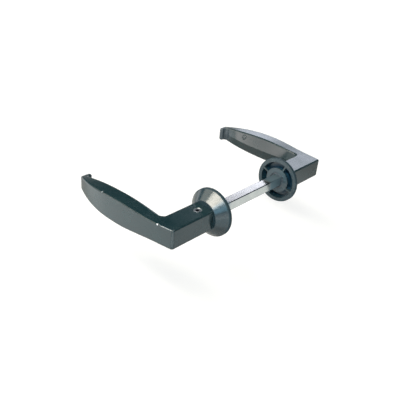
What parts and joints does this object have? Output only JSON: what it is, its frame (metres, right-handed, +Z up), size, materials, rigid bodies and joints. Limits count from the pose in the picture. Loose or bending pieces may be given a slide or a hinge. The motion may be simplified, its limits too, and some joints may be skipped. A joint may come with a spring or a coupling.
{
  "type": "lever handle set",
  "caption": "Door lever set: curved cast levers with a lip at the tip, on a square spindle, each with a conical ribbed rose and a grub screw clamping it to the spindle.",
  "frame": {"origin": "on the spindle's axis, midway between the two roses' door faces", "axes": "+Y along the spindle from the front lever to the rear lever, +Z up, grips point to -X"},
  "size_m": [0.1213, 0.1998, 0.0396],
  "materials": {
    "lever_coat": "satin black coating, worn bright at a few edges",
    "rose_plastic": "gloss black moulding",
    "spindle_metal": "bright zinc plate",
    "screw_steel": "blackened steel"
  },
  "bodies": {
    "front_rose": {"rose_front": "rose_plastic"},
    "front_lever": {"lever_front": "lever_coat", "set_screw_front": "screw_steel"},
    "spindle_bar": {"spindle": "spindle_metal"},
    "rear_lever": {"lever_rear": "lever_coat", "set_screw_rear": "screw_steel"},
    "rear_rose": {"rose_rear": "rose_plastic"}
  },
  "joints": [
    {"name": "lever_turn", "type": "hinge", "parent": "front_rose", "child": "front_lever", "pos_m": [0, 0, 0], "axis": [0, -1, 0], "range_deg": [-45, 45]},
    {"name": "spindle_slide", "type": "slide", "parent": "front_lever", "child": "spindle_bar", "axis": [0, -1, 0], "range_m": [-0.002, 0.0235]},
    {"name": "rear_lever_slide", "type": "slide", "parent": "spindle_bar", "child": "rear_lever", "axis": [0, -1, 0], "range_m": [-0.002, 0.0235]},
    {"name": "rear_rose_turn", "type": "hinge", "parent": "rear_lever", "child": "rear_rose", "pos_m": [0, 0, 0], "axis": [0, -1, 0], "range_deg": [-45, 45]}
  ],
  "couplings": [
    {"joint": "rear_rose_turn", "follows": "lever_turn", "ratio": -1}
  ]
}
